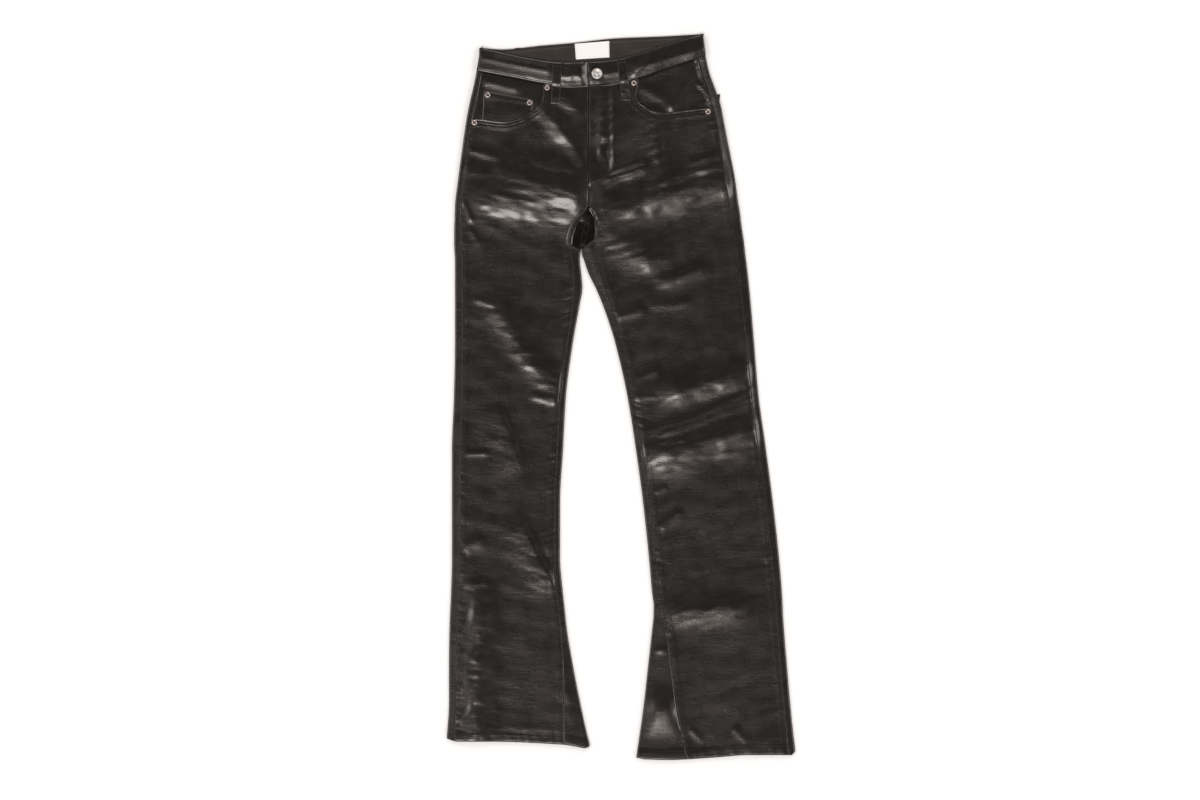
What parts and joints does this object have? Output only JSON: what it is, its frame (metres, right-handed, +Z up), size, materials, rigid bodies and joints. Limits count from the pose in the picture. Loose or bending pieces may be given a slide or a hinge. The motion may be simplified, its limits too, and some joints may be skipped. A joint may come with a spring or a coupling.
{
  "type": "flared trousers",
  "caption": "High-waisted flared trousers of glossy dark imitation leather, laid flat, with a button waistband, scooped front pockets, a coin pocket and a godet in each inside leg.",
  "frame": {"origin": "on the surface that the trousers lie on, under the centre of their outline", "axes": "+X to the wearer's left, +Y from the hems to the waist, +Z up out of the front of the garment"},
  "size_m": [0.5718, 1.1894, 0.0133],
  "materials": {
    "leather": "glossy",
    "button_metal": "polished",
    "rivet_metal": "satin",
    "label": "matt"
  },
  "bodies": {
    "root": {"back_left": "leather", "back_right": "leather", "front_left": "leather", "front_right": "leather", "godet_left": "leather", "godet_right": "leather", "yoke_left": "leather", "yoke_right": "leather", "back_pocket_left": "leather", "back_pocket_right": "leather", "pocket_facing_left": "leather", "pocket_facing_right": "leather", "coin_pocket": "leather", "waistband": "leather", "belt_loop_front_right": "leather", "belt_loop_front_left": "leather", "belt_loop_back_right": "leather", "belt_loop_back_centre": "leather", "belt_loop_back_left": "leather", "button": "button_metal", "rivet_right_side": "rivet_metal", "rivet_right_waist": "rivet_metal", "rivet_left_waist": "rivet_metal", "rivet_left_side": "rivet_metal", "rivet_coin_outer": "rivet_metal", "rivet_coin_inner": "rivet_metal", "label": "label"}
  },
  "joints": []
}
